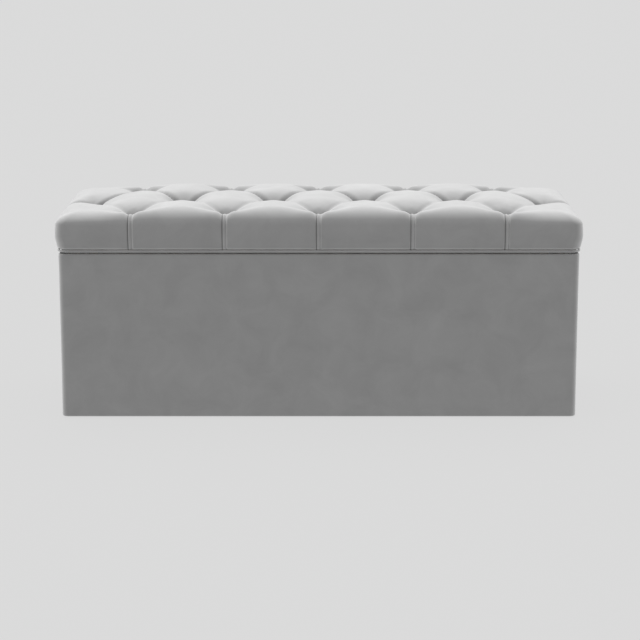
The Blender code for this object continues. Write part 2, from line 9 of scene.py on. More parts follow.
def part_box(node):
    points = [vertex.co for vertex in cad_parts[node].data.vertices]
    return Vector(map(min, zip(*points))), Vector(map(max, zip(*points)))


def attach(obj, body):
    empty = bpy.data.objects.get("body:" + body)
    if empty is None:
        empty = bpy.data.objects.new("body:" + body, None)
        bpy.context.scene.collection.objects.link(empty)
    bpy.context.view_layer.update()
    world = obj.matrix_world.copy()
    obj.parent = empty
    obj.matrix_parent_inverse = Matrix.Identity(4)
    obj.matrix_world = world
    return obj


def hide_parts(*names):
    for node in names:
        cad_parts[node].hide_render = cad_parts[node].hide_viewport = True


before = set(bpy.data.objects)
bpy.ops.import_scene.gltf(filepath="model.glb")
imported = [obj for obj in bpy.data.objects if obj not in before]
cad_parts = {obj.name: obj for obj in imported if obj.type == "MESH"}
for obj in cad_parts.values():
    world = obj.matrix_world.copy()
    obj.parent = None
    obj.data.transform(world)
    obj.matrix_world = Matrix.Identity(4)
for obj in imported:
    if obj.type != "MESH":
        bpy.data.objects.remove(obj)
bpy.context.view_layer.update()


# ---------------------------------------------------------------- the room
# Pale paper underfoot and the same pale grey all round, with one broad light high behind the bench and
# a weak one from the left. The long lens stands a little above the lid.

paper_grey = (0.04, 0.04, 0.04)
paper_glow = 0.66
air_grey = (0.716, 0.716, 0.716)
overhead_from, overhead_spread, overhead_strength = (0.0, 0.35, 1.0), 60, 1.2
left_from, left_spread, left_strength = (-1.0, -0.1, 0.3), 60, 0.55
floor_radius = 60
lens_mm, film_mm = 115.2, 36
eye = (0.0025, -4.854, 1.219)
look_down = math.radians(12.0)


def new_shader(name, colour, roughness, metallic=0.0):
    """A material with its node tree and its Principled shader."""
    material = bpy.data.materials.new(name)
    material.use_nodes = True
    tree = material.node_tree
    shader = tree.nodes["Principled BSDF"]
    shader.inputs["Base Color"].default_value = (*colour, 1)
    shader.inputs["Roughness"].default_value = roughness
    shader.inputs["Metallic"].default_value = metallic
    return material, tree, shader


def object_from(mesh, name, material):
    """An object for a mesh, with its finish on it and its faces smooth."""
    mesh.name = name
    mesh.materials.append(material)
    mesh.polygons.foreach_set("use_smooth", [True] * len(mesh.polygons))
    obj = bpy.data.objects.new(name, mesh)
    bpy.context.scene.collection.objects.link(obj)
    return obj


def mesh_of(bm):
    mesh = bpy.data.meshes.new("mesh")
    bm.to_mesh(mesh)
    bm.free()
    return mesh


def lay_paper():
    material, tree, shader = new_shader("room_paper", paper_grey, 1.0)
    shader.inputs["Specular IOR Level"].default_value = 0.0
    shader.inputs["Emission Color"].default_value = (1, 1, 1, 1)
    shader.inputs["Emission Strength"].default_value = paper_glow
    bm = bmesh.new()
    bmesh.ops.create_circle(bm, cap_ends=True, radius=floor_radius, segments=48)
    object_from(mesh_of(bm), "floor", material)


def fill_air():
    world = bpy.data.worlds.new("studio")
    world.use_nodes = True
    world.node_tree.nodes["Background"].inputs["Color"].default_value = (*air_grey, 1)
    bpy.context.scene.world = world


def soft_light(name, comes_from, spread, strength):
    """Light from far off in one direction, as from a large diffuser."""
    data = bpy.data.lights.new(name, "SUN")
    data.angle = math.radians(spread)
    data.energy = strength
    light = bpy.data.objects.new(name, data)
    light.rotation_euler = Vector(comes_from).to_track_quat("Z", "Y").to_euler()
    bpy.context.scene.collection.objects.link(light)


def set_camera():
    data = bpy.data.cameras.new("camera")
    data.lens = lens_mm
    data.sensor_width = film_mm
    camera = bpy.data.objects.new("camera", data)
    camera.location = eye
    camera.rotation_euler = (math.pi / 2 - look_down, 0, 0)
    bpy.context.scene.collection.objects.link(camera)
    bpy.context.scene.camera = camera


lay_paper()
fill_air()
soft_light("overhead", overhead_from, overhead_spread, overhead_strength)
soft_light("left_side", left_from, left_spread, left_strength)
set_camera()
bpy.context.scene.view_settings.view_transform = "Standard"


# ---------------------------------------------------------------- the tufted lid cover
# Cut-pile velvet over foam, drawn down by the buttons and stapled in under the board. It folds along the
# straight lines between them, and is pleated from the outer buttons down the sides. The folds are laid
# first, then the cover is blown out over them as cloth.

cover_low, cover_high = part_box("lid_cover")
crown_height = cover_high.z - 0.0060
front_fall, back_fall, end_fall = 0.0020, 0.0005, 0.011
end_fall_from = 0.40
roll_across, wall_top = 0.060, cover_high.z - 0.045
flat_x, flat_y = cover_high.x - roll_across, cover_high.y - roll_across
corner_share, corner_reach = 0.42, 0.045
hem_top = cover_low.z + 0.0075
tuck_in, tuck_from, wall_bulge, bulge_to = 0.0042, 0.45, 0.0012, 0.8
turned_in = ((0.0045, -0.0012), (0.0065, -0.0040), (0.0120, -0.0068), (0.0300, -0.0068))
roll_steps, wall_steps = 20, 16
cell_steps, finer_at_folds = 26, 0.8
end_steps, front_steps = 3, 4
on_edge = 1e-6

fold_depth, fold_reach = 0.0080, 0.100
button_room, room_reach, over_button = 0.0110, 0.030, 0.0006
puff_width, pit_width, pit_reach = 0.0895, 0.048, 0.060
front_softness, back_softness, side_blend, fold_blend = 0.50, 0.15, 0.030, 4.0
groove_depth, groove_width, front_groove_share = 0.0085, 0.0065, 0.3
side_fade = 0.050
pleat_depth, pleat_reach = 0.0020, 0.082
pleat_wide, pleat_narrow, pleat_flat = 0.040, 0.012, 0.019
pleat_run, pleat_narrowing = 0.085, 0.7
lines_from, lines_fade = 0.025, 0.035
pleat_lines = (
    (-0.0052, 0.0032, 0.0012),
    (-0.0014, -0.0016, 0.0016),
    (0.0029, 0.0032, 0.0012),
    (0.0066, -0.0008, 0.0016),
)

held_by_pleat, held_round_button = 0.6, 0.014
loosest, full_pleat = 0.15, 0.003
cloth_pressure, cloth_frames, most_moved = 3.0, 16, 0.0035

# The second grey is a painted sheen: the colour the velvet is lifted to where it is seen at a grazing
# angle.
velvet_grey, painted_sheen_grey = 0.280, 0.64
nap_light, nap_size = 0.075, 13.0
# How much painted shade darkens the velvet in the creases, and how wide it lies along the pleat lines and
# the folds.
crease_shade_strength, pleat_shade_width, fold_shade_width = 0.55, 0.0013, 0.0055
pile_size, pile_bump = 900.0, 0.12


def middle(node):
    low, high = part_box(node)
    return (low + high) / 2


button_rows = (("front", 5), ("middle", 6), ("back", 5))
button_names = [f"button_{row}_{number + 1}" for row, count in button_rows for number in range(count)]
buttons = [middle(name) for name in button_names]
button_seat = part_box("button_front_1")[0].z
half_cell = (middle("button_front_2").x - middle("button_front_1").x) / 2
row_gap = -middle("button_front_1").y
end_button = middle("button_middle_6").x


def spread(t):
    """0 to 1, with steps that are finer at both ends, where the folds are."""
    return t - finer_at_folds * math.sin(2 * math.pi * t) / (2 * math.pi)


def lattice(cells, pitch, edge, extra):
    """Grid lines along one side of the flat top, close together where the folds and buttons are."""
    lines = [pitch * (k + spread(i / cell_steps)) for k in range(-cells, cells) for i in range(cell_steps)]
    lines.append(cells * pitch)
    more = [cells * pitch + (edge - cells * pitch) * (i + 1) / extra for i in range(extra)]
    return np.array([-line for line in reversed(more)] + lines + more)


def crown(x, y):
    """Height of the stuffed lid before it is buttoned: a little lower along its edges."""
    across = np.sin(np.clip(np.abs(y) / flat_y, 0, 1) * math.pi / 2) ** 2
    to_end = np.clip((np.abs(x) - end_fall_from) / (flat_x - end_fall_from), 0, 1)
    along = np.sin(to_end * math.pi / 2) ** 2
    return crown_height - np.where(y < 0, front_fall, back_fall) * across - end_fall * along


def ring_plan(x, y, out):
    """Where the flat top's edge comes when it is moved out, round the corners, and the way it faces."""
    radius = corner_share * out
    place, facing = [], []
    for px, py in zip(x, y):
        on_front = abs(abs(py) - flat_y) < on_edge
        along, limit, across = (px, flat_x, py) if on_front else (py, flat_y, px)
        sign, side = math.copysign(1, along), math.copysign(1, across)
        share = max(0.0, (abs(along) - (limit - corner_reach)) / corner_reach)
        other = (flat_y if on_front else flat_x) + out
        straight = corner_reach + out - radius
        run = share * (straight + radius * math.pi / 4)
        turn = max(0.0, (run - straight) / radius)
        a = sign * (min(abs(along), limit - corner_reach) + min(run, straight) + radius * math.sin(turn))
        b = side * (other - radius * (1 - math.cos(turn)))
        fa, fb = sign * math.sin(turn), side * math.cos(turn)
        place.append((a, b) if on_front else (b, a))
        facing.append((fa, fb) if on_front else (fb, fa))
    return np.array(place), np.array(facing)


def ring_profile(edge_height):
    """How far out and how high each ring is, and which way it faces, down to the turned-in edge."""
    down = edge_height - wall_top
    for step in range(1, roll_steps + 1):
        turn = math.pi / 2 * step / roll_steps
        facing = Vector((math.sin(turn) / roll_across, math.cos(turn) / float(down.mean()))).normalized()
        yield roll_across * math.sin(turn), edge_height - down * (1 - math.cos(turn)), facing
    for step in range(1, wall_steps + 1):
        share = step / wall_steps
        bulge = wall_bulge * math.sin(math.pi * min(1, share / bulge_to))
        tuck = tuck_in * max(0, (share - tuck_from) / (1 - tuck_from)) ** 2
        height = np.full_like(edge_height, wall_top + (hem_top - wall_top) * share)
        yield roll_across + bulge - tuck, height, Vector((1, 0))
    for inward, height in turned_in:
        yield roll_across - tuck_in - inward, np.full_like(edge_height, hem_top + height), Vector((0, -1))


def cover_form():
    """Points, outward directions, quads, ring numbers and the edge point each ring point hangs from."""
    cells_along = round(end_button / half_cell)
    lines_x = lattice(cells_along, half_cell, flat_x, end_steps)
    lines_y = lattice(1, row_gap, flat_y, front_steps)
    grid_x, grid_y = np.meshgrid(lines_x, lines_y)
    top = np.stack([grid_x, grid_y, crown(grid_x, grid_y)], -1).reshape(-1, 3)
    index = np.arange(len(top)).reshape(grid_x.shape)
    quads = [np.stack([index[:-1, :-1], index[:-1, 1:], index[1:, 1:], index[1:, :-1]], -1).reshape(-1, 4)]
    border = np.concatenate([index[0, :-1], index[:-1, -1], index[-1, :0:-1], index[:0:-1, 0]])
    points, outward, rings = [top], [np.tile((0.0, 0.0, 1.0), (len(top), 1))], [np.full(len(top), -1)]
    above, fresh = border, len(top) + np.arange(len(border))
    for number, (out, height, facing) in enumerate(ring_profile(top[border, 2])):
        place, sideways = ring_plan(top[border, 0], top[border, 1], out)
        points.append(np.column_stack([place, height]))
        outward.append(np.column_stack([sideways * facing[0], np.full(len(border), facing[1])]))
        rings.append(np.full(len(border), number))
        quads.append(np.stack([above, fresh, np.roll(fresh, -1), np.roll(above, -1)], -1))
        above, fresh = fresh, fresh + len(border)
    owner = np.concatenate([np.arange(len(top))] + [border] * (number + 1))
    return [np.concatenate(part) for part in (points, outward, quads, rings)] + [owner]


def fold_ends():
    """Each straight fold, from a button of the middle row to one of the front or back row."""
    inner = [button for button in buttons if abs(button.y) < row_gap / 2]
    outer = [button for button in buttons if abs(button.y) > row_gap / 2]
    return [(a, b) for a in inner for b in outer if abs(a.x - b.x) < 1.5 * half_cell]


def ball_side(nearby, softness):
    """The side of a puff: 1 at its fold, where it stands nearly upright, falling to 0 at its middle."""
    return (1 - softness) * (1 - np.sqrt(1 - nearby**2)) + softness * nearby**2


def fold_sink(x, y, pit):
    """How far the folds draw the cover down at each place, their sharp grooves, and where painted shade
    darkens them.

    Each puff slopes further on its front side than on its back.
    """
    total, groove, crease_shade = np.zeros(len(x)), np.zeros(len(x)), np.zeros(len(x))
    for a, b in fold_ends():
        length = math.hypot(b.x - a.x, b.y - a.y)
        t = np.clip(((x - a.x) * (b.x - a.x) + (y - a.y) * (b.y - a.y)) / length**2, 0, 1)
        away = np.hypot(x - a.x - t * (b.x - a.x), y - a.y - t * (b.y - a.y))
        along = length * np.minimum(t, 1 - t)
        inside = (t > 0) & (t < 1)
        room = button_room * np.sqrt(np.clip(1 - along / room_reach, 0, 1))
        nearness = np.clip(1 - np.maximum(along - button_room, 0) / fold_reach, 0, 1)
        level = fold_depth + (pit - fold_depth) * nearness**2
        beside = ((y - a.y) * (b.x - a.x) - (x - a.x) * (b.y - a.y)) / length
        behind = np.clip(0.5 + beside * math.copysign(1, b.x - a.x) / side_blend, 0, 1)
        full = pit_width + (puff_width - pit_width) * np.clip(along / pit_reach, 0, 1)
        width = full + (puff_width - full) * behind
        nearby = np.clip(1 - np.maximum(away - room, 0) / width, 0, 1)
        softness = back_softness + (front_softness - back_softness) * behind
        total += (level * ball_side(nearby, softness)) ** fold_blend
        # Painted shade along the folds that run to the back row.
        crease_shade = np.maximum(crease_shade, np.exp(-((away / fold_shade_width) ** 2)) * inside * (b.y > 0))
        deepest = groove_depth * (1 if b.y > 0 else front_groove_share)
        groove = np.maximum(groove, deepest * np.clip(1 - away / groove_width, 0, 1) * inside)
    return np.minimum(total ** (1 / fold_blend), pit), groove, crease_shade


def pleat_sink(offset, distance, pit):
    """A pleat's valley, wide at the button and narrow down the side, with its lines and the painted shade
    along its crease.
    """
    level = pleat_depth + (pit - pleat_depth) * np.clip(1 - distance / pleat_reach, 0, 1) ** 2
    share = np.clip(distance / pleat_run, 0, 1)
    width = pleat_wide + (pleat_narrow - pleat_wide) * share**pleat_narrowing
    off_flat = np.maximum(np.abs(offset) - pleat_flat * (1 - share), 0)
    valley = level * ball_side(np.clip(1 - off_flat / width, 0, 1), back_softness)
    fade = np.clip((distance - lines_from) / lines_fade, 0, 1)
    lines = sum(depth * np.exp(-(((offset - at) / wide) ** 2)) for at, depth, wide in pleat_lines)
    # Painted shade along the pleat's first line, fading in away from the button.
    crease_shade = fade * np.exp(-(((offset - pleat_lines[0][0]) / pleat_shade_width) ** 2))
    return valley + fade * lines, crease_shade


def tufted_form():
    """The cover with its folds and pleats laid in: points, quads, how firmly each is held, and the painted
    shade for its creases.
    """
    points, outward, quads, rings, owner = cover_form()
    x, y = points[:, 0], points[:, 1]
    on_top = rings < 0
    root = points[owner]
    pit = crown(root[:, 0], root[:, 1]) - button_seat + over_button

    run = np.zeros(len(points))
    hang, above = 0.0, root[rings == 0]
    for number in range(rings.max() + 1):
        here = points[rings == number]
        hang += float(np.median(np.linalg.norm(here - above, axis=1)))
        run[rings == number] = hang
        above = here

    folds, groove, crease_shade = fold_sink(x, y, pit)
    crease_shade *= on_top
    sink = np.where(on_top, folds, folds[owner] * np.clip(1 - run / side_fade, 0, 1) ** 2)
    pleats = np.zeros(len(points))
    front_or_back = np.abs(np.abs(root[:, 1]) - flat_y) < on_edge
    at_end = np.abs(np.abs(root[:, 0]) - flat_x) < on_edge
    for button in buttons:
        if abs(button.y) > row_gap / 2:
            mine = (np.sign(root[:, 1]) == math.copysign(1, button.y)) & (np.abs(y) >= row_gap - on_edge)
            mine &= on_top | front_or_back
            distance = np.where(on_top, np.abs(y) - row_gap, flat_y - row_gap + run)
            offset = root[:, 0] - button.x
        elif abs(button.x) > end_button - half_cell:
            mine = (np.sign(root[:, 0]) == math.copysign(1, button.x)) & (np.abs(x) >= end_button - on_edge)
            mine &= on_top | at_end
            distance = np.where(on_top, np.abs(x) - end_button, flat_x - end_button + run)
            offset = root[:, 1]
        else:
            continue
        # The pleat's second value is the painted shade along its crease.
        drawn, dark = pleat_sink(offset, np.maximum(distance, 0), pit)
        crease_shade = np.where(mine, np.maximum(crease_shade, dark), crease_shade)
        deeper = mine & (np.abs(offset) < half_cell) & (np.abs(drawn) > np.abs(pleats))
        pleats = np.where(deeper, drawn, pleats)
    both = np.sign(pleats) * (np.abs(pleats) ** 3 + np.maximum(sink, 0) ** 3 * (pleats >= 0)) ** (1 / 3)
    moved = np.where(pleats > 0, both, sink + pleats)
    moved = np.minimum(moved, pit) + groove * on_top
    moved[rings >= roll_steps + wall_steps] = 0
    pinned = np.clip(np.abs(pleats) / full_pleat, 0, 1) * held_by_pleat
    pinned[rings >= roll_steps + wall_steps - 1] = 1
    for button in buttons:
        pinned[on_top & (np.hypot(x - button.x, y - button.y) < held_round_button)] = 1
    return points - outward * moved[:, None], quads, pinned, crease_shade


def blow_out(obj, pinned):
    """Runs the cover as cloth under pressure, held at its buttons and hem, and limits each point's move."""
    start = np.array([vert.co[:] for vert in obj.data.vertices])
    group = obj.vertex_groups.new(name="held")
    for number, weight in enumerate(pinned):
        group.add([number], float(loosest + (1 - loosest) * weight), "REPLACE")
    cloth = obj.modifiers.new("cloth", "CLOTH")
    settings = cloth.settings
    settings.quality = 6
    settings.mass = 0.3
    settings.tension_stiffness = 25
    settings.compression_stiffness = 25
    settings.shear_stiffness = 8
    settings.bending_stiffness = 1.0
    settings.air_damping = 2
    settings.use_pressure = True
    settings.uniform_pressure_force = cloth_pressure
    settings.vertex_group_mass = "held"
    settings.pin_stiffness = 1.0
    settings.effector_weights.gravity = 0
    cloth.collision_settings.use_collision = False
    scene = bpy.context.scene
    for number in range(1, cloth_frames + 1):
        scene.frame_set(number)
    graph = bpy.context.evaluated_depsgraph_get()
    settled = bpy.data.meshes.new_from_object(obj.evaluated_get(graph))
    moved = np.array([vert.co[:] for vert in settled.vertices]) - start
    obj.modifiers.remove(cloth)
    obj.vertex_groups.remove(group)
    bpy.data.meshes.remove(settled)
    scene.frame_set(1)
    size = np.linalg.norm(moved, axis=1)
    moved *= (most_moved * np.tanh(size / most_moved) / np.maximum(size, 1e-9))[:, None]
    obj.data.vertices.foreach_set("co", (start + moved).ravel())


def velvet(name):
    """Grey cut pile: a painted sheen lifts its colour where it is seen at a grazing angle, it is cloudy
    where the nap lies differently, and painted shade darkens its creases.
    """
    material, tree, shader = new_shader(name, (velvet_grey,) * 3, 0.9)
    shader.inputs["Specular IOR Level"].default_value = 0.1
    shader.inputs["Sheen Weight"].default_value = 0.6
    shader.inputs["Sheen Roughness"].default_value = 0.32
    shader.inputs["Sheen Tint"].default_value = (1, 1, 1, 1)
    place = tree.nodes.new("ShaderNodeTexCoord")
    nap = tree.nodes.new("ShaderNodeTexNoise")
    nap.inputs["Scale"].default_value = nap_size
    nap.inputs["Detail"].default_value = 6
    nap.inputs["Roughness"].default_value = 0.62
    nap.inputs["Distortion"].default_value = 0.6
    tone = tree.nodes.new("ShaderNodeMapRange")
    tone.inputs["From Min"].default_value = 0.25
    tone.inputs["From Max"].default_value = 0.75
    tone.inputs["To Min"].default_value = 1 - nap_light
    tone.inputs["To Max"].default_value = 1 + nap_light
    # Painted sheen: the base colour runs from the plain grey where the surface faces the view to the
    # lighter grey at a grazing angle.
    grazing = tree.nodes.new("ShaderNodeLayerWeight")
    grazing.inputs["Blend"].default_value = 0.5
    sheen = tree.nodes.new("ShaderNodeMapRange")
    sheen.inputs["From Min"].default_value = 0.10
    sheen.inputs["From Max"].default_value = 0.85
    sheen.inputs["To Min"].default_value = velvet_grey
    sheen.inputs["To Max"].default_value = painted_sheen_grey
    both = tree.nodes.new("ShaderNodeMath")
    both.operation = "MULTIPLY"
    # Painted shade: the stored crease mask darkens the base colour in the folds and pleats.
    crease_shade_mask = tree.nodes.new("ShaderNodeAttribute")
    crease_shade_mask.attribute_name = "crease_shade"
    crease_shading = tree.nodes.new("ShaderNodeMapRange")
    crease_shading.inputs["To Min"].default_value = 1
    crease_shading.inputs["To Max"].default_value = 1 - crease_shade_strength
    shaded = tree.nodes.new("ShaderNodeMath")
    shaded.operation = "MULTIPLY"
    pile = tree.nodes.new("ShaderNodeTexNoise")
    pile.inputs["Scale"].default_value = pile_size
    pile.inputs["Detail"].default_value = 2
    bump = tree.nodes.new("ShaderNodeBump")
    bump.inputs["Strength"].default_value = pile_bump
    bump.inputs["Distance"].default_value = 0.0006
    link = tree.links.new
    link(place.outputs["Object"], nap.inputs["Vector"])
    link(place.outputs["Object"], pile.inputs["Vector"])
    link(nap.outputs["Fac"], tone.inputs["Value"])
    link(grazing.outputs["Facing"], sheen.inputs["Value"])
    link(sheen.outputs["Result"], both.inputs[0])
    link(tone.outputs["Result"], both.inputs[1])
    link(crease_shade_mask.outputs["Fac"], crease_shading.inputs["Value"])
    link(both.outputs["Value"], shaded.inputs[0])
    link(crease_shading.outputs["Result"], shaded.inputs[1])
    link(shaded.outputs["Value"], shader.inputs["Base Color"])
    link(pile.outputs["Fac"], bump.inputs["Height"])
    link(bump.outputs["Normal"], shader.inputs["Normal"])
    return material


def make_tufted_cover(material):
    """The cover's mesh, blown out and smoothed, with the painted shade for its creases stored for the
    velvet.
    """
    points, quads, pinned, crease_shade = tufted_form()
    mesh = bpy.data.meshes.new("mesh")
    mesh.from_pydata(points.tolist(), [], quads.tolist())
    obj = object_from(mesh, "tufted_cover", material)
    # The painted shade for the creases is kept on the points for the velvet.
    mesh.attributes.new("crease_shade", "FLOAT", "POINT").data.foreach_set("value", crease_shade)
    blow_out(obj, pinned)
    smooth = obj.modifiers.new("smooth", "SUBSURF")
    smooth.levels = smooth.render_levels = 1
    return obj


lid_velvet = velvet("lid_velvet")
tufted_cover = make_tufted_cover(lid_velvet)
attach(tufted_cover, "lid")
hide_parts("lid_cover", "lid_foam", "lid_wadding")


# ---------------------------------------------------------------- the covered buttons
# Steel button shells covered in the same velvet, gathered under their rims. Each is tied through the
# foam and the board with twine, and sits at the bottom of its pit.

button_gathers, button_gather_depth = 9, 0.00025
button_rings = ((0.35, 0.95), (0.65, 0.80), (0.86, 0.56), (0.97, 0.28), (1.0, 0.08), (0.93, 0.0))
button_sides = 36


def gathered_button(name):
    """A low dome whose cloth is drawn into small pleats round its rim."""
    low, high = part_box(name)
    radius, height = (high.x - low.x) / 2, high.z - low.z
    bm = bmesh.new()
    top = bm.verts.new((0, 0, height))
    above = None
    for share, rise in button_rings:
        ring = []
        for side in range(button_sides):
            turn = 2 * math.pi * side / button_sides
            drawn = button_gather_depth * share**3 * (1 + math.cos(button_gathers * turn))
            reach = radius * share - drawn
            ring.append(bm.verts.new((reach * math.cos(turn), reach * math.sin(turn), height * rise)))
        for side in range(button_sides):
            following = (side + 1) % button_sides
            if above:
                bm.faces.new((above[side], ring[side], ring[following], above[following]))
            else:
                bm.faces.new((top, ring[side], ring[following]))
        above = ring
    bm.faces.new(list(reversed(above)))
    bmesh.ops.translate(bm, vec=(*middle(name).xy, low.z), verts=bm.verts)
    return mesh_of(bm)


for name in button_names:
    covered = object_from(gathered_button(name), "covered_" + name, lid_velvet)
    covered.modifiers.new("smooth", "SUBSURF").levels = 1
    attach(covered, "lid")
    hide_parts(name)


# ---------------------------------------------------------------- the piping round the lid
# A thin cord wrapped in the velvet and sewn to the cover's hem. It runs right round the lid and closes
# the seam against the box.

piping_radius, piping_out, piping_low = 0.0026, 0.0005, 0.0008
piping_sides, piping_step = 12, 0.006


def round_the_edge(half_x, half_y, radius, spacing):
    """Points and outward directions along a rectangle with round corners, about evenly spaced."""
    path = []
    corners = ((1, -1, -math.pi / 2), (1, 1, 0), (-1, 1, math.pi / 2), (-1, -1, math.pi))
    corner_steps = max(3, round(radius * math.pi / 2 / spacing))
    for number, (sx, sy, start) in enumerate(corners):
        centre = Vector((sx * (half_x - radius), sy * (half_y - radius)))
        for step in range(corner_steps + 1):
            turn = start + math.pi / 2 * step / corner_steps
            out = Vector((math.cos(turn), math.sin(turn)))
            path.append((centre + radius * out, out))
        following = corners[(number + 1) % 4]
        out = path[-1][1]
        end = Vector((following[0] * (half_x - radius), following[1] * (half_y - radius))) + radius * out
        begin = path[-1][0]
        steps = max(1, round((end - begin).length / spacing))
        path += [(begin.lerp(end, step / steps), out) for step in range(1, steps)]
    return path


def swept_ring(path, section):
    """A closed ring: the section's (outwards, up) points carried along the path."""
    bm = bmesh.new()
    loops = [[bm.verts.new((*(at + out * a), b)) for a, b in section] for at, out in path]
    for this, following in zip(loops, loops[1:] + loops[:1]):
        for k in range(len(section)):
            after = (k + 1) % len(section)
            bm.faces.new((this[k], following[k], following[after], this[after]))
    bmesh.ops.recalc_face_normals(bm, faces=bm.faces)
    return mesh_of(bm)


hem_half_x = cover_high.x - tuck_in + piping_out - piping_radius
hem_half_y = cover_high.y - tuck_in + piping_out - piping_radius
piping_z = cover_low.z + piping_radius - piping_low
section = [
    (
        piping_radius * math.cos(2 * math.pi * k / piping_sides),
        piping_z + piping_radius * math.sin(2 * math.pi * k / piping_sides),
    )
    for k in range(piping_sides)
]
hem_corner = corner_share * (roll_across - tuck_in)
hem_path = round_the_edge(hem_half_x, hem_half_y, hem_corner, piping_step)
piping = object_from(swept_ring(hem_path, section), "lid_piping", lid_velvet)
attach(piping, "lid")


# ---------------------------------------------------------------- the box's cover
# The same velvet drawn tight over thin wadding round the plywood box. It turns over the rim and down
# inside, and under the bottom edge, where it is stapled. The seams stand at the back corners.

box_low, box_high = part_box("base_cover")
box_corner, box_step = 0.0141, 0.012
edge_turn, edge_bends = 0.0035, (0.5, 1.05)
turned_under = ((-0.030, 0.0004), (-0.012, 0.0002))
cover_ripple, ripple_size = 0.0006, 6.0
wall_rows = 26
rim_width, rim_middle, rim_round, rim_depth_inside = 0.0195, 0.011, 0.002, 0.030
sharp_corner, velvet_thick = 0.001, 0.0012


def ripple(point, size):
    """A smooth in-and-out of drawn cloth, from -1 to 1."""
    smaller = noise.noise(Vector(point) * size * 2.3 + Vector((7, 3, 1)))
    return (noise.noise(Vector(point) * size) + 0.5 * smaller) / 1.2


def make_box_cover():
    """The cover as one sheet of even thickness, from under the box up over the rim and down inside."""
    height = box_high.z - box_low.z
    bends = [(edge_turn * (1 - math.sin(turn)), edge_turn * (1 - math.cos(turn))) for turn in edge_bends]
    rows = [edge_turn + (height - 2 * edge_turn) * row / wall_rows for row in range(wall_rows + 1)]
    section = [(inwards, box_low.z + up) for inwards, up in turned_under]
    section += [(-edge_turn, box_low.z)]
    section += [(-inwards, box_low.z + up) for inwards, up in bends]
    section += [(0, box_low.z + up) for up in rows]
    section += [(-down, box_high.z - inwards) for inwards, down in bends]
    section += [(-inwards, box_high.z) for inwards in (edge_turn, rim_middle, rim_width - rim_round)]
    section += [(-rim_width, box_high.z - down) for down in (rim_round, rim_depth_inside)]
    path = round_the_edge(box_high.x, box_high.y, box_corner, box_step)
    bm = bmesh.new()
    loops = []
    for at, out in path:
        loop = []
        for inwards, z in section:
            reach = inwards
            if inwards == 0:
                up = (z - box_low.z) / height
                drawn = 1 + ripple((at.x, at.y, z), ripple_size)
                reach -= cover_ripple * drawn * math.sin(math.pi * up) ** 0.5
            elif abs(out.x * out.y) > on_edge:
                reach = max(inwards, sharp_corner - box_corner)
            loop.append(bm.verts.new((*(at + out * reach), z)))
        loops.append(loop)
    for this, following in zip(loops, loops[1:] + loops[:1]):
        for k in range(len(section) - 1):
            bm.faces.new((this[k], following[k], following[k + 1], this[k + 1]))
    obj = object_from(mesh_of(bm), "box_velvet", velvet("box_velvet"))
    shell = obj.modifiers.new("thickness", "SOLIDIFY")
    shell.thickness = velvet_thick
    shell.offset = -1
    return obj


box_velvet = make_box_cover()
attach(box_velvet, "box")
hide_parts("base_cover", "base_wadding")


# ---------------------------------------------------------------- boards and battens
# The box is 15 mm birch plywood, glued and screwed to pine battens and corner blocks. The lid is one
# 18 mm board. None of it is finished, as it is all covered or lined.


def wood(name, colour, dark, ring_size, stretch):
    """Bare wood with long grain along X: bands of growth, with fine pores over them."""
    material, tree, shader = new_shader(name, colour, 0.65)
    place = tree.nodes.new("ShaderNodeTexCoord")
    along = tree.nodes.new("ShaderNodeMapping")
    along.inputs["Scale"].default_value = (stretch, 1.0, 1.0)
    rings = tree.nodes.new("ShaderNodeTexWave")
    rings.bands_direction = "Y"
    rings.inputs["Scale"].default_value = ring_size
    rings.inputs["Distortion"].default_value = 6
    rings.inputs["Detail"].default_value = 3
    pores = tree.nodes.new("ShaderNodeTexNoise")
    pores.inputs["Scale"].default_value = 220
    pores.inputs["Detail"].default_value = 3
    tone = tree.nodes.new("ShaderNodeMix")
    tone.data_type = "RGBA"
    tone.inputs[6].default_value = (*colour, 1)
    tone.inputs[7].default_value = (*dark, 1)
    bump = tree.nodes.new("ShaderNodeBump")
    bump.inputs["Strength"].default_value = 0.25
    bump.inputs["Distance"].default_value = 0.0004
    link = tree.links.new
    link(place.outputs["Object"], along.inputs["Vector"])
    link(along.outputs["Vector"], rings.inputs["Vector"])
    link(along.outputs["Vector"], pores.inputs["Vector"])
    link(rings.outputs["Fac"], tone.inputs[0])
    link(tone.outputs[2], shader.inputs["Base Color"])
    link(pores.outputs["Fac"], bump.inputs["Height"])
    link(bump.outputs["Normal"], shader.inputs["Normal"])
    return material


def finish_nodes(material, *names):
    """Gives the frame's own pieces their finish."""
    for name in names:
        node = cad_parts[name]
        node.data.materials.clear()
        node.data.materials.append(material)


birch = wood("birch_plywood", (0.60, 0.45, 0.28), (0.48, 0.33, 0.18), 5, 0.15)
pine = wood("planed_pine", (0.70, 0.52, 0.31), (0.55, 0.35, 0.17), 9, 0.10)
corners_of_box = [f"{depth}_{side}" for depth in ("front", "back") for side in ("left", "right")]
finish_nodes(birch, "front_panel", "back_panel", "left_side_panel", "right_side_panel")
finish_nodes(birch, "bottom_board", "lid_board")
finish_nodes(pine, "hinge_rail", "floor_cleat_front", "floor_cleat_back")
finish_nodes(pine, *(f"corner_post_{corner}" for corner in corners_of_box))


# ---------------------------------------------------------------- the linings
# Black spun cloth: a loose tray stapled inside the box, a sheet over the board under the lid, and a
# dust cloth under the whole box. All are cut with scissors and stapled every few centimetres.

lining_black = (0.022, 0.022, 0.024)
lining_thick, sheet_thick = 0.0008, 0.0004
tray_cut, tray_slack, tray_levels, tray_step = 0.0232, 0.0010, 18, 0.02
floor_shares, floor_slack = (0.9, 0.75, 0.6, 0.45, 0.3, 0.15), 0.0008
sheet_step, pucker_reach, pucker_height, loose_from_edge = 0.015, 0.02, 0.35, 0.05
staple_long, staple_wire, staple_pitch, staple_lean = 0.010, 0.0006, 0.085, 0.35


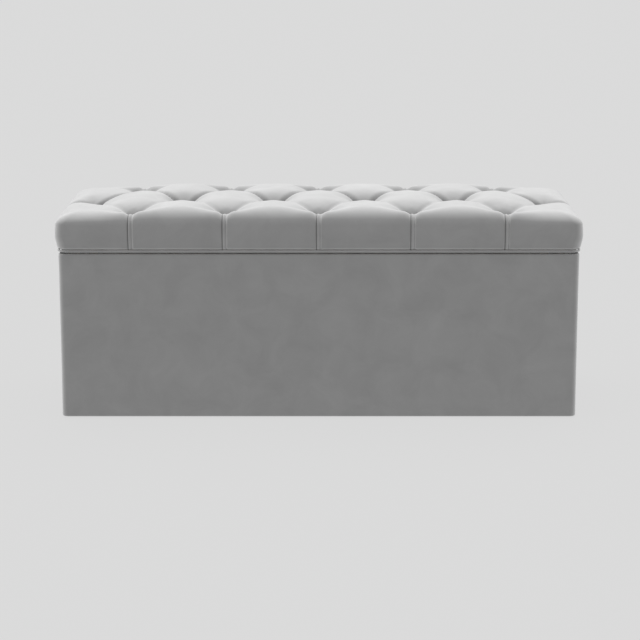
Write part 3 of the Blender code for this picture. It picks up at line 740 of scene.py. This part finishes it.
def spun_cloth(name):
    """Nonwoven cloth: a small emboss of points over a fibrous ground."""
    material, tree, shader = new_shader(name, lining_black, 0.85)
    shader.inputs["Sheen Weight"].default_value = 0.15
    place = tree.nodes.new("ShaderNodeTexCoord")
    points = tree.nodes.new("ShaderNodeTexVoronoi")
    points.inputs["Scale"].default_value = 600
    fibres = tree.nodes.new("ShaderNodeTexNoise")
    fibres.inputs["Scale"].default_value = 160
    fibres.inputs["Detail"].default_value = 5
    tone = tree.nodes.new("ShaderNodeMapRange")
    tone.inputs["To Min"].default_value = lining_black[0] * 0.6
    tone.inputs["To Max"].default_value = lining_black[0] * 1.7
    bump = tree.nodes.new("ShaderNodeBump")
    bump.inputs["Strength"].default_value = 0.3
    bump.inputs["Distance"].default_value = 0.0003
    link = tree.links.new
    link(place.outputs["Object"], points.inputs["Vector"])
    link(place.outputs["Object"], fibres.inputs["Vector"])
    link(fibres.outputs["Fac"], tone.inputs["Value"])
    link(tone.outputs["Result"], shader.inputs["Base Color"])
    link(points.outputs["Distance"], bump.inputs["Height"])
    link(bump.outputs["Normal"], shader.inputs["Normal"])
    return material


def tray_mesh(low, high, cut, sag):
    """An open tray with its corners cut off, its walls and floor a little slack."""
    hx, hy = high.x, high.y
    corners = [(hx, cut - hy), (hx, hy - cut), (hx - cut, hy), (cut - hx, hy)]
    corners += [(-x, -y) for x, y in corners]
    outline = []
    for (ax, ay), (bx, by) in zip(corners, corners[1:] + corners[:1]):
        steps = max(1, round(math.hypot(bx - ax, by - ay) / tray_step))
        outline += [(ax + (bx - ax) * k / steps, ay + (by - ay) * k / steps) for k in range(steps)]
    bm = bmesh.new()
    loops = []
    for level in range(tray_levels + 1):
        up = 1 - level / tray_levels
        z = low.z + (high.z - low.z) * up
        slack = sag * math.sin(math.pi * up) ** 0.7
        loop = []
        for x, y in outline:
            pull = 1 - slack * (1 + ripple((x, y, z), 9)) / math.hypot(x, y)
            loop.append(bm.verts.new((x * pull, y * pull, z)))
        loops.append(loop)
    for share in floor_shares:
        bend = 1 - share
        loop = []
        for x, y in outline:
            keep_x = x - math.copysign(min(abs(x), hy * bend), x)
            z = low.z + floor_slack * (1 + ripple((x * share, y * share, 0), 12)) * bend
            loop.append(bm.verts.new((keep_x, y * share, z)))
        loops.append(loop)
    count = len(outline)
    for this, following in zip(loops, loops[1:]):
        for k in range(count):
            bm.faces.new((this[k], following[k], following[(k + 1) % count], this[(k + 1) % count]))
    bm.faces.new(loops[-1])
    bmesh.ops.triangulate(bm, faces=[face for face in bm.faces if len(face.verts) > 4])
    return mesh_of(bm)


def flat_cloth_mesh(low, high, slack, size):
    """A sheet stapled flat at its edges, puckered between the staples and a little slack in the middle."""
    columns, rows = round((high.x - low.x) / sheet_step), round((high.y - low.y) / sheet_step)
    bm = bmesh.new()
    bmesh.ops.create_grid(bm, x_segments=columns, y_segments=rows, size=0.5)
    for vert in bm.verts:
        x, y = vert.co.x * (high.x - low.x), vert.co.y * (high.y - low.y)
        edge = min(high.x - abs(x), high.y - abs(y))
        along = x if high.y - abs(y) < high.x - abs(x) else y
        between = abs(math.sin(math.pi * along / staple_pitch))
        pucker = math.exp(-edge / pucker_reach) * between * pucker_height
        loose = slack * (min(1, edge / loose_from_edge) * 0.5 * (1 + ripple((x, y, 0), size)) + pucker)
        vert.co = (x, y, low.z + loose)
    return mesh_of(bm)


def thin_shell(obj, thickness):
    shell = obj.modifiers.new("thickness", "SOLIDIFY")
    shell.thickness = thickness
    shell.offset = 1


def staples_mesh(half_x, half_y, z):
    """A row of flat wire staples along each edge of a cloth, their crowns just proud of it."""
    bm = bmesh.new()
    places = []
    for half, other, turned in ((half_x, half_y, 0), (half_y, half_x, 1)):
        count = int(2 * half / staple_pitch)
        for number in range(count):
            along = (number - (count - 1) / 2) * staple_pitch
            for side in (-1, 1):
                place = (side * other, along) if turned else (along, side * other)
                places.append((*place, turned))
    for x, y, turned in places:
        ends = {"radius1": staple_wire, "radius2": staple_wire, "depth": staple_long}
        wire = bmesh.ops.create_cone(bm, cap_ends=True, segments=8, **ends)["verts"]
        bmesh.ops.rotate(bm, matrix=Matrix.Rotation(math.pi / 2, 3, "Y"), verts=wire)
        lean = staple_lean * ripple((x * 9, y * 9, 2), 5) + turned * math.pi / 2
        bmesh.ops.rotate(bm, matrix=Matrix.Rotation(lean, 3, "Z"), verts=wire)
        bmesh.ops.translate(bm, vec=(x, y, z), verts=wire)
    return mesh_of(bm)


lining_cloth = spun_cloth("spun_lining")
well_low, well_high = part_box("inner_lining")
well = object_from(tray_mesh(well_low, well_high, tray_cut, tray_slack), "well_lining", lining_cloth)
thin_shell(well, lining_thick)
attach(well, "box")
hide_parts("inner_lining")

under_low, under_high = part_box("base_dust_cloth")
dust = object_from(flat_cloth_mesh(under_low, under_high, 0.0006, 7), "under_cloth", lining_cloth)
thin_shell(dust, sheet_thick)
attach(dust, "box")
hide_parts("base_dust_cloth")

board_low, board_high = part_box("lid_lining")
lid_cloth = object_from(flat_cloth_mesh(board_low, board_high, 0.0004, 8), "lid_lining_cloth", lining_cloth)
thin_shell(lid_cloth, sheet_thick)
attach(lid_cloth, "lid")
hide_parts("lid_lining")


# ---------------------------------------------------------------- hinges, screws and staples
# Steel butt hinges, zinc plated, with round pins. They are fixed with countersunk cross-head screws, and
# the linings with galvanised wire staples.


def metal(name, colour, roughness, scratch, size):
    """Plated metal with a faint unevenness in its polish."""
    material, tree, shader = new_shader(name, colour, roughness, 1.0)
    place = tree.nodes.new("ShaderNodeTexCoord")
    cloud = tree.nodes.new("ShaderNodeTexNoise")
    cloud.inputs["Scale"].default_value = size
    cloud.inputs["Detail"].default_value = 6
    gloss = tree.nodes.new("ShaderNodeMapRange")
    gloss.inputs["To Min"].default_value = max(0.02, roughness - scratch)
    gloss.inputs["To Max"].default_value = roughness + scratch
    link = tree.links.new
    link(place.outputs["Object"], cloud.inputs["Vector"])
    link(cloud.outputs["Fac"], gloss.inputs["Value"])
    link(gloss.outputs["Result"], shader.inputs["Roughness"])
    return material


zinc = metal("zinc_plate", (0.62, 0.62, 0.63), 0.34, 0.12, 90)
sides = ("left", "centre", "right")
finish_nodes(zinc, *(f"hinge_{part}_{side}" for part in ("base_leaf", "lid_leaf", "pin") for side in sides))
finish_nodes(zinc, "strut_base_bracket_left", "strut_base_bracket_right")
finish_nodes(zinc, "strut_lid_bracket_left", "strut_lid_bracket_right")

screw_radius, screw_top_share, screw_rise, screw_sunk = 0.0034, 0.92, 0.0006, 0.0002
cross_long, cross_half, cross_deep = 0.0021, 0.00045, 0.0009
leaf_thick, bracket_thick = 0.0015, 0.002
leaf_screws = ((-0.024, 0.010), (-0.008, 0.019), (0.008, 0.019), (0.024, 0.010))
wall_screw_y, wall_screw_z, flange_screw_x, flange_screw_y = 0.008, 0.019, 0.010, 0.011
staple_inset, staple_proud = 0.008, 0.0001


def add_screw(bm, at, facing):
    """A low head with a cross-shaped recess, facing out of the surface that it is driven into."""
    a, b = cross_long, cross_half
    cross = [(a, b), (b, b), (b, a), (-b, a), (-b, b), (-a, b)]
    cross += [(-x, -y) for x, y in cross]
    rim = [math.atan2(y, x) for x, y in cross]
    top = screw_radius * screw_top_share
    levels = [
        [(screw_radius * math.cos(t), screw_radius * math.sin(t), -screw_sunk) for t in rim],
        [(top * math.cos(t), top * math.sin(t), screw_rise * 0.7) for t in rim],
        [(x, y, screw_rise) for x, y in cross],
        [(x, y, screw_rise - cross_deep) for x, y in cross],
    ]
    turn = Vector(facing).to_track_quat("Z", "Y").to_matrix()
    loops = [[bm.verts.new(Vector(at) + turn @ Vector(point)) for point in level] for level in levels]
    for this, following in zip(loops, loops[1:]):
        for k in range(len(cross)):
            after = (k + 1) % len(cross)
            bm.faces.new((this[k], this[after], following[after], following[k]))
    bm.faces.new(loops[-1])
    bm.faces.new(list(reversed(loops[0])))


def make_screws(name, body, places):
    """One piece for all the screws that ride one body at a hinge or bracket."""
    bm = bmesh.new()
    for at, facing in places:
        add_screw(bm, at, facing)
    screws = object_from(mesh_of(bm), name, zinc)
    screws.data.polygons.foreach_set("use_smooth", [False] * len(screws.data.polygons))
    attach(screws, body)


leaf_places = {"base": [], "lid": []}
for side in sides:
    for part, up in (("base", 1), ("lid", -1)):
        low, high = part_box(f"hinge_{part}_leaf_{side}")
        face = (low.z + leaf_thick) if part == "base" else (high.z - leaf_thick)
        for along, back in leaf_screws:
            leaf_places[part].append((((low.x + high.x) / 2 + along, low.y + back, face), (0, 0, up)))
make_screws("hinge_screws_base", "box", leaf_places["base"])
make_screws("hinge_screws_lid", "lid", leaf_places["lid"])

for side, sign in (("left", -1), ("right", 1)):
    low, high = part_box(f"strut_base_bracket_{side}")
    face = high.x - bracket_thick if sign > 0 else low.x + bracket_thick
    at_y = [(low.y + high.y) / 2 + dy for dy in (-wall_screw_y, wall_screw_y)]
    at_z = [(low.z + high.z) / 2 + dz for dz in (-wall_screw_z, wall_screw_z)]
    wall = [((face, y, z), (-sign, 0, 0)) for y in at_y for z in at_z]
    make_screws(f"bracket_screws_wall_{side}", "box", wall)
    low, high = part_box(f"strut_lid_bracket_{side}")
    flange_x = low.x + flange_screw_x if sign > 0 else high.x - flange_screw_x
    at_y = [(low.y + high.y) / 2 + dy for dy in (-flange_screw_y, flange_screw_y)]
    flange = [((flange_x, y, high.z - bracket_thick), (0, 0, -1)) for y in at_y]
    make_screws(f"bracket_screws_lid_{side}", "lid", flange)

stapled = (
    ("under_cloth_staples", "box", under_low, under_high),
    ("lid_lining_staples", "lid", board_low, board_high),
)
for name, body, low, high in stapled:
    row = staples_mesh(high.x - staple_inset, high.y - staple_inset, low.z - staple_proud)
    wires = object_from(row, name, zinc)
    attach(wires, body)


# ---------------------------------------------------------------- gas struts
# A polished chrome rod slides in a black painted steel tube. Each end turns on a shouldered stud.

chrome = metal("rod_chrome", (0.78, 0.78, 0.79), 0.10, 0.04, 140)
finish_nodes(chrome, "strut_rod_left", "strut_rod_right")


def moulded(name, colour, roughness, grain, bump_height):
    """Paint, nylon or rubber: an even colour with a fine grain in its surface."""
    material, tree, shader = new_shader(name, colour, roughness)
    place = tree.nodes.new("ShaderNodeTexCoord")
    texture = tree.nodes.new("ShaderNodeTexNoise")
    texture.inputs["Scale"].default_value = grain
    texture.inputs["Detail"].default_value = 3
    bump = tree.nodes.new("ShaderNodeBump")
    bump.inputs["Strength"].default_value = 0.3
    bump.inputs["Distance"].default_value = bump_height
    tree.links.new(place.outputs["Object"], texture.inputs["Vector"])
    tree.links.new(texture.outputs["Fac"], bump.inputs["Height"])
    tree.links.new(bump.outputs["Normal"], shader.inputs["Normal"])
    return material


tube_paint = moulded("satin_black_paint", (0.015, 0.015, 0.016), 0.32, 700, 0.0001)
finish_nodes(tube_paint, "strut_tube_left", "strut_tube_right")


# ---------------------------------------------------------------- glides and buffers
# Nylon glides nailed under the corners, and rubber buffers on the rim where the lid comes down.

black_nylon = moulded("black_nylon", (0.03, 0.03, 0.03), 0.45, 500, 0.0002)
grey_rubber = moulded("grey_rubber", (0.12, 0.12, 0.12), 0.8, 900, 0.0002)
finish_nodes(black_nylon, *(f"glide_{corner}" for corner in corners_of_box))
finish_nodes(grey_rubber, "lid_buffer_left", "lid_buffer_right")
